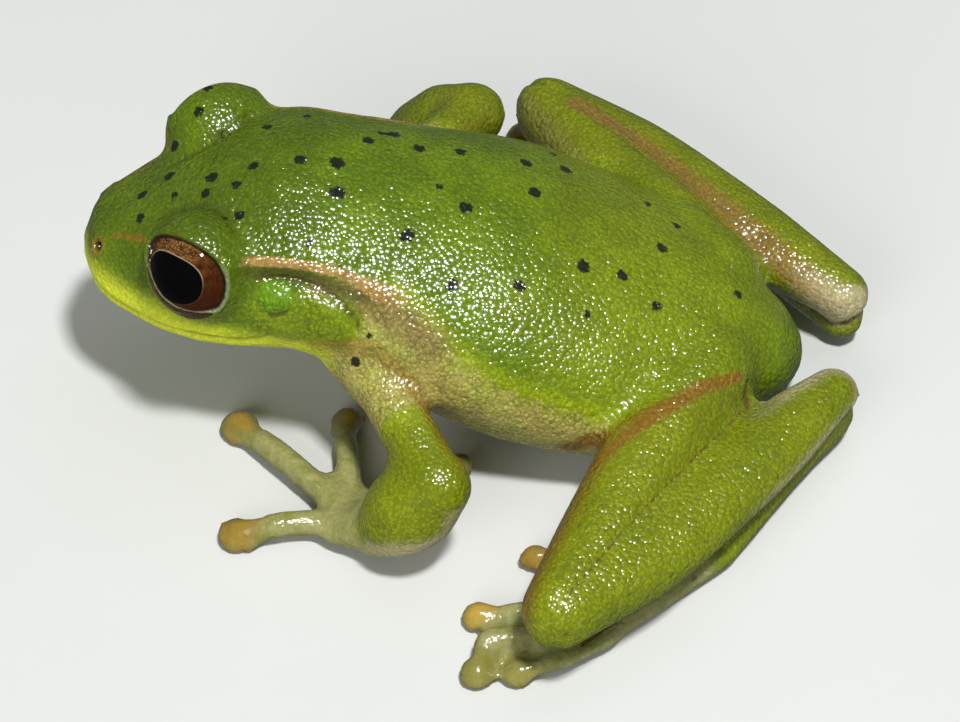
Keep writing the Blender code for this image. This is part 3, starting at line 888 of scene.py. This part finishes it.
class Board:
    """A node tree, and one call that adds a node of any kind."""

    def __init__(self, tree):
        self.tree = tree

    def plug(self, socket, value):
        if isinstance(value, Value):
            self.tree.links.new(value.socket, socket)
        else:
            socket.default_value = value

    def add(self, kind, settings=None, values=None, output=0):
        made = self.tree.nodes.new(kind)
        for name, value in (settings or {}).items():
            setattr(made, name, value)
        for name, value in (values or {}).items():
            self.plug(made.inputs[name], value)
        return Value(self, made.outputs[output])

    def maths(self, operation, *values):
        return self.add("ShaderNodeMath", {"operation": operation}, dict(enumerate(values)))

    def vector(self, operation, *values):
        return self.add("ShaderNodeVectorMath", {"operation": operation}, dict(enumerate(values)))

    def joined(self, *values):
        return self.add("ShaderNodeCombineXYZ", {}, dict(enumerate(values)))

    def mark(self, name):
        return self.add("ShaderNodeAttribute", {"attribute_name": name}, output="Fac")

    def mix(self, factor, first, second, how="MIX"):
        """The second colour laid over the first; a plain colour is red, green and blue."""
        first, second = (
            colour if isinstance(colour, Value) else (*colour, 1.0) for colour in (first, second)
        )
        return self.add("ShaderNodeMix", {"data_type": "RGBA", "blend_type": how},
            {0: factor, 6: first, 7: second}, output=2)

    def darken(self, factor, colour, by):
        return self.mix(factor, colour, self.mix(1.0, colour, by, "MULTIPLY"))

    def noise(self, place, scale, detail=2.0, roughness=0.5, output=0):
        return self.add("ShaderNodeTexNoise", {},
            {"Vector": place, "Scale": scale, "Detail": detail, "Roughness": roughness}, output)

    def cells(self, place, scale, feature="F1", output="Distance"):
        return self.add("ShaderNodeTexVoronoi", {"feature": feature},
            {"Vector": place, "Scale": scale}, output)


def material(name, **constants):
    """A Principled material with the given constants on its own sockets."""
    made = bpy.data.materials.new(name)
    made.use_nodes = True
    shader = made.node_tree.nodes["Principled BSDF"]
    for socket, value in constants.items():
        shader.inputs[socket.replace("_", " ")].default_value = value
    return made, Board(made.node_tree), shader


# ---------------------------------------------------------------- the skin's look

GRAIN = 5.0  # granules to the millimetre
GLINT = 3.5  # the wet domes that catch the light
FLANK_GRAIN = 3.2
BUMP_DISTANCE = 0.000034
SKIN_ROUGHNESS = 0.22

# Linear colours; where there are two, a noise mixes them.
SKIN_COLOURS = {
    "back": ((0.130, 0.208, 0.001), (0.186, 0.278, 0.002)),
    "brow": ((0.098, 0.152, 0.001), (0.132, 0.204, 0.002)),
    "rump": ((0.225, 0.280, 0.002), (0.270, 0.335, 0.003)),
    "limb": ((0.215, 0.258, 0.001), (0.265, 0.305, 0.002)),
    "flank_edge": (0.320, 0.400, 0.004),
    "flank": ((0.520, 0.415, 0.110), (0.520, 0.500, 0.100)),
    "shoulder": ((0.290, 0.190, 0.055), (0.330, 0.255, 0.075)),
    "cheek": (0.230, 0.310, 0.003),
    "lip": (0.740, 0.800, 0.022),
    "ear": (0.165, 0.350, 0.006),
    "lid_halo": (0.480, 0.520, 0.010),
    "shaft": ((0.345, 0.325, 0.125), (0.245, 0.258, 0.070)),
    "disc": ((0.330, 0.190, 0.022), (0.190, 0.160, 0.030)),
    "amber": (0.520, 0.330, 0.045),
    "olive": (0.240, 0.240, 0.045),
    "warm": ((0.330, 0.150, 0.009), (0.280, 0.152, 0.014)),
    "pale": (0.620, 0.520, 0.300),
    # painted shade under the fold over the ear and in the lid's crease
    "shade": (0.085, 0.080, 0.012),
    "stripe": ((0.440, 0.225, 0.050), (0.560, 0.340, 0.115)),
    "lid": (0.230, 0.290, 0.015),
    "hindlid": (0.300, 0.350, 0.200),
    "underlid": (0.034, 0.014, 0.003),
    "rim": (0.200, 0.180, 0.090),
    # The next five are painted shade: along the leg's crease and tuck, in the grooves, on the wall
    # inside the lids' edge and in the nostrils.
    "crease": (0.115, 0.062, 0.008),
    "tuck": (0.085, 0.035, 0.005),
    "seam": (0.060, 0.040, 0.006),
    "wall": (0.020, 0.009, 0.004),
    "pit": (0.020, 0.012, 0.006),
    "spot": (0.005, 0.006, 0.003),
}
BETWEEN_GRANULES = (0.30, 0.36, 0.30)
IN_MOTTLE = (0.62, 0.70, 0.62)
IN_NET = (0.25, 0.28, 0.25)


def skin_material():
    made, board, shader = material("frog_skin", Metallic=0.0, IOR=1.5, Specular_IOR_Level=0.95,
        Subsurface_Weight=0.10, Subsurface_Scale=0.0004, Subsurface_Radius=(1.0, 0.7, 0.25))
    metres = board.add("ShaderNodeTexCoord", output="Object")
    place = board.vector("MULTIPLY", metres, (1 / MM,) * 3)
    stir = board.noise(place, 1.6, 2.0, output="Color")
    wander = board.vector("MULTIPLY_ADD", stir, (0.35,) * 3, place)
    mark = {name: board.mark(name) for name in marks}

    broad = board.noise(place, 0.35, 3.0).ramp(0.35, 0.68)
    fine = board.noise(place, 1.6, 3.0).ramp(0.3, 0.75)
    mottle = board.noise(place, 4.5, 3.0, 0.7).ramp(0.3, 0.7)
    along_shaft = board.noise(place, 1.3, 3.0).ramp(0.35, 0.7)
    over_disc = board.noise(place, 0.6, 2.0).ramp(0.4, 0.65)

    def hue(name, noise=None):
        colour = SKIN_COLOURS[name]
        return colour if noise is None else board.mix(noise, *colour)

    def layered(colour, *layers):
        """A colour with others laid over it in turn, each by an amount from 0 to 1."""
        for amount, name, *noise in layers:
            colour = board.mix(amount, colour, hue(name, *noise))
        return colour

    disc = layered(
        hue("disc", over_disc),
        (mark["amber"] * 0.9, "amber"),
        (mark["olive"] * 0.8, "olive"),
    )
    colour = layered(
        hue("back", broad),
        (mark["brow"] * 0.8, "brow", broad),
        (mark["rump"] * 0.8, "rump", broad),
        (mark["limb"], "limb", broad),
        (mark["flank"].ramp(0.0, 0.45), "flank_edge"),
        ((mark["flank"] + (fine - 0.5) * 0.35).ramp(0.40, 0.90), "flank", broad),
        (mark["shoulder"] * 0.85, "shoulder", fine),
        (mark["cheek"] * 0.9, "cheek"),
        (mark["lip"], "lip"),
        (mark["ear"] * 0.8, "ear"),
        (mark["underlid"].ramp(0.0, 0.5) * 0.6, "lid_halo"),
    )
    digit = board.mix(mark["disc"] * 0.85, hue("shaft", along_shaft), disc)
    colour = board.mix(mark["digits"], colour, digit)
    ragged = mark["stripe"] + (board.noise(place, 3.5, 3.0) - 0.5) * 0.9
    colour = layered(
        colour,
        (mark["warm"] * 0.95, "warm", fine),
        (mark["pale"] * 0.9, "pale"),
        (mark["shade"] * 0.75, "shade"),
        (ragged.ramp(0.20, 0.90) * 0.9, "stripe", fine),
        (mark["lid"] * 0.35, "lid"),
        (mark["hindlid"] * 0.7, "hindlid"),
    )

    # The granules' own shading: dark between them, and a darker net on the sides and the jaw.
    grain = board.cells(wander, GRAIN).ramp(0.60, 0.20)
    depth = 0.48 - mark["digits"] * 0.34 - mark["lip"] * 0.22
    colour = board.darken((1.0 - grain) * depth, colour, BETWEEN_GRANULES)
    colour = board.darken(mottle * 0.30, colour, IN_MOTTLE)
    net = board.cells(wander, FLANK_GRAIN, "DISTANCE_TO_EDGE").ramp(0.20, 0.0)
    net = net * board.noise(place, 1.1, 2.0).ramp(0.30, 0.60)
    netted = (mark["flank"] + mark["cheek"] * 0.7).ramp(0.05, 0.8)
    colour = board.darken(net * netted * 0.55, colour, IN_NET)

    # Thin lines, drawn from distances: the rim of the lids' edge, painted shade on the wall inside
    # it and in the creases and grooves, and the spots.
    edge = mark["lid_edge"]
    rim = edge.ramp(0.2, 0.8) * edge.ramp(2.3, 1.6) * mark["below"]
    # painted shade on the wall just inside the lids' edge, less of it below the eye
    wall = edge.ramp(1.7, 0.7) * (1.0 - mark["below"] * 0.8)
    seam = (mark["seam"] + (board.noise(place, 3.5) - 0.5) * 0.06).ramp(0.24, 0.08)
    spot = (mark["spot"] + (board.noise(place, 4.5, 2.0) - 0.5) * 0.45).ramp(0.05, -0.07)
    colour = layered(
        colour,
        ((mark["underlid"] + fine * 0.1).ramp(0.45, 0.75), "underlid"),
        (rim * 0.75, "rim"),
        (mark["crease"].ramp(0.17, 0.05) * 0.85, "crease"),
        (mark["tuck"].ramp(0.32, 0.10) * 0.85, "tuck"),
        (seam * 0.75, "seam"),
        (wall, "wall"),
        (mark["pit"], "pit"),
        (spot * 0.96, "spot"),
    )
    board.plug(shader.inputs["Base Color"], colour)

    def domes(scale):
        """Rounded bumps, some higher than others."""
        middle = board.cells(place, scale)
        height = 0.55 + board.cells(place, scale, output="Color") * 0.9
        return (1.0 - middle * middle * 2.2) * height

    glint = domes(GLINT)
    for name, loss in (("cheek", 0.4), ("digits", 0.4), ("disc", 0.85)):
        glint = glint * (1.0 - mark[name] * loss)
    height = glint + domes(GRAIN * 1.15) * 0.10
    board.plug(shader.inputs["Normal"], board.add("ShaderNodeBump", {},
        {"Strength": 1.0, "Distance": BUMP_DISTANCE, "Height": height}))
    rough = board.noise(place, 0.9, 3.0).ramp(0.3, 0.7) * 0.05 + SKIN_ROUGHNESS
    board.plug(shader.inputs["Roughness"], rough - mark["disc"] * 0.08)
    return made


skin.data.materials.clear()
skin.data.materials.append(skin_material())

# ---------------------------------------------------------------- the eyes

IRIS_DARK = (0.022, 0.008, 0.003)
IRIS_LIGHT = (0.150, 0.062, 0.015)
IRIS_GOLD = (0.360, 0.215, 0.080)
IRIS_LOWER = (0.035, 0.010, 0.003)
IRIS_HIND = (0.040, 0.010, 0.003)
IRIS_OUTER = (0.015, 0.007, 0.003)
PUPIL_RIM = (0.360, 0.300, 0.190)
PUPIL = (0.0015, 0.0015, 0.0018)


def eye_piece(side):
    """An eyeball about its own line of sight, with the place across and up kept on its points."""
    gaze = gaze_of(side)
    across = np.cross((0.0, 0.0, 1.0), gaze)
    across /= np.linalg.norm(across)
    up = np.cross(gaze, across)
    form = bmesh.new()
    bmesh.ops.create_uvsphere(form, u_segments=EYE_SIDES, v_segments=EYE_RINGS, radius=EYE_RADIUS)
    unit = np.array([vertex.co for vertex in form.verts])
    turned = unit[:, :1] * across + unit[:, 1:2] * up + unit[:, 2:] * gaze
    for vertex, point in zip(form.verts, turned * MM + middle_of(f"eye_{side}")):
        vertex.co = point
    mesh = new_mesh(form, f"eyeball_{side}")
    places = {"across": unit[:, 0] * -SIDES[side], "up": unit[:, 1], "ahead": unit[:, 2]}
    for name, values in places.items():
        attribute = mesh.attributes.new(name, "FLOAT", "POINT")
        attribute.data.foreach_set("value", values.astype(np.float32))
    mesh.polygons.foreach_set("use_smooth", [True] * len(mesh.polygons))
    return new_item(f"eyeball_{side}", mesh)


def eye_material():
    made, board, shader = material("frog_eye", Metallic=0.0, Coat_Weight=1.0, Coat_Roughness=0.015,
        Coat_IOR=1.20, Specular_IOR_Level=0.0)
    across, up, ahead = (board.mark(name) for name in ("across", "up", "ahead"))
    h = (across - PUPIL_MIDDLE[0]) / PUPIL_HALF[0]
    w = (up - PUPIL_MIDDLE[1]) / PUPIL_HALF[1]
    h_power, w_power = (board.maths("ABSOLUTE", part) ** PUPIL_SQUARE for part in (h, w))
    radius = (h_power + w_power) ** (1 / PUPIL_SQUARE)  # 1 at the pupil's edge
    around = board.maths("ARCTAN2", w, h)
    veins = board.noise(board.joined(around * 1.7, radius * 5.5, 0.0), 2.4, 4.0, 0.65)
    flecks = board.noise(board.joined(across, up, ahead), 9.0, 3.0, 0.7)

    colour = board.mix(veins.ramp(0.38, 0.62), IRIS_DARK, IRIS_LIGHT)
    gold = flecks.ramp(0.50, 0.68) * up.ramp(0.6, 2.0) * across.ramp(1.6, -0.6)
    rim = radius.ramp(1.036, 1.022) * radius.ramp(0.994, 1.006)
    for amount, over in (
        (gold, IRIS_GOLD),
        (up.ramp(1.5, -0.2) * 0.8, IRIS_LOWER),
        (across.ramp(0.3, 1.9) * 0.75, IRIS_HIND),
        (radius.ramp(1.35, 1.60) * 0.5, IRIS_OUTER),
        (rim * (0.06 + up.ramp(0.3, 1.3) * 0.62), PUPIL_RIM),
        (radius.ramp(1.015, 0.985), PUPIL),
    ):
        colour = board.mix(amount, colour, over)
    board.plug(shader.inputs["Base Color"], colour)
    board.plug(shader.inputs["Roughness"], radius.ramp(0.98, 1.02) * 0.30 + 0.10)
    return made


eye_look = eye_material()
for side in SIDES:
    eyeball = eye_piece(side)
    eyeball.data.materials.append(eye_look)
    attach(eyeball, "root")
    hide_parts(f"eye_{side}")

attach(skin, "root")
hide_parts(*(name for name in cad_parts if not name.startswith("eye")))

# ---------------------------------------------------------------- floor, light and camera

FLOOR_SIZE = 2.0  # metres, as all the sizes below
FLOOR_COLOURS = ((0.62, 0.63, 0.61), (0.65, 0.66, 0.64))

# The way to each light, its distance, size and power, and whether wet skin may mirror it.
LIGHTS = {
    "main": ((0.18, -0.30, 0.94), 0.55, 0.055, 3.0, True),
    "front": ((-0.35, -0.9, 0.45), 0.8, 0.5, 3.2, False),
    "overhead": ((0.2, 0.3, 1.0), 0.9, 0.6, 0.7, False),
}
WORLD_COLOUR = (0.92, 0.96, 1.0, 1.0)
WORLD_STRENGTH = 0.12

AZIMUTH = math.radians(4.0)
ELEVATION = math.radians(47.0)
DISTANCE = 0.230
LENS = 155.25  # millimetres, as the sensor
SENSOR = 36.0
AIM = (0.0, 1.0, 0.0)  # the frog's own coordinates


def floor():
    form = bmesh.new()
    bmesh.ops.create_grid(form, x_segments=8, y_segments=8, size=FLOOR_SIZE / 2)
    item = new_item("floor", new_mesh(form, "floor"))
    made, board, shader = material("pale_floor", Roughness=0.65)
    metres = board.add("ShaderNodeTexCoord", output="Object")
    board.plug(shader.inputs["Base Color"],
        board.mix(board.noise(metres, 60.0, 3.0), *FLOOR_COLOURS))
    item.data.materials.append(made)
    item.visible_glossy = False  # a wet frog on a pale floor would mirror it


def softbox(name, toward, distance, size, power, mirrored):
    """A square light that faces the frog."""
    data = bpy.data.lights.new(name, "AREA")
    data.size = size
    data.energy = power
    item = new_item(name, data)
    item.visible_glossy = mirrored
    direction = Vector(toward).normalized()
    item.location = Vector(ZERO) + direction * distance
    item.rotation_euler = direction.to_track_quat("Z", "Y").to_euler()


def studio():
    world = bpy.data.worlds.new("studio")
    world.use_nodes = True
    background = world.node_tree.nodes["Background"]
    background.inputs["Color"].default_value = WORLD_COLOUR
    background.inputs["Strength"].default_value = WORLD_STRENGTH
    bpy.context.scene.world = world
    bpy.context.scene.view_settings.view_transform = "Standard"


def camera():
    data = bpy.data.cameras.new("camera")
    data.sensor_width = SENSOR
    data.lens = LENS
    data.clip_start = 0.01
    item = new_item("camera", data)
    back = Vector((
        math.sin(AZIMUTH) * math.cos(ELEVATION),
        -math.cos(AZIMUTH) * math.cos(ELEVATION),
        math.sin(ELEVATION),
    ))
    item.location = Vector(ZERO) + Vector(AIM) * MM + back * DISTANCE
    item.rotation_euler = back.to_track_quat("Z", "Y").to_euler()
    bpy.context.scene.camera = item


floor()
for name, settings in LIGHTS.items():
    softbox(name, *settings)
studio()
camera()
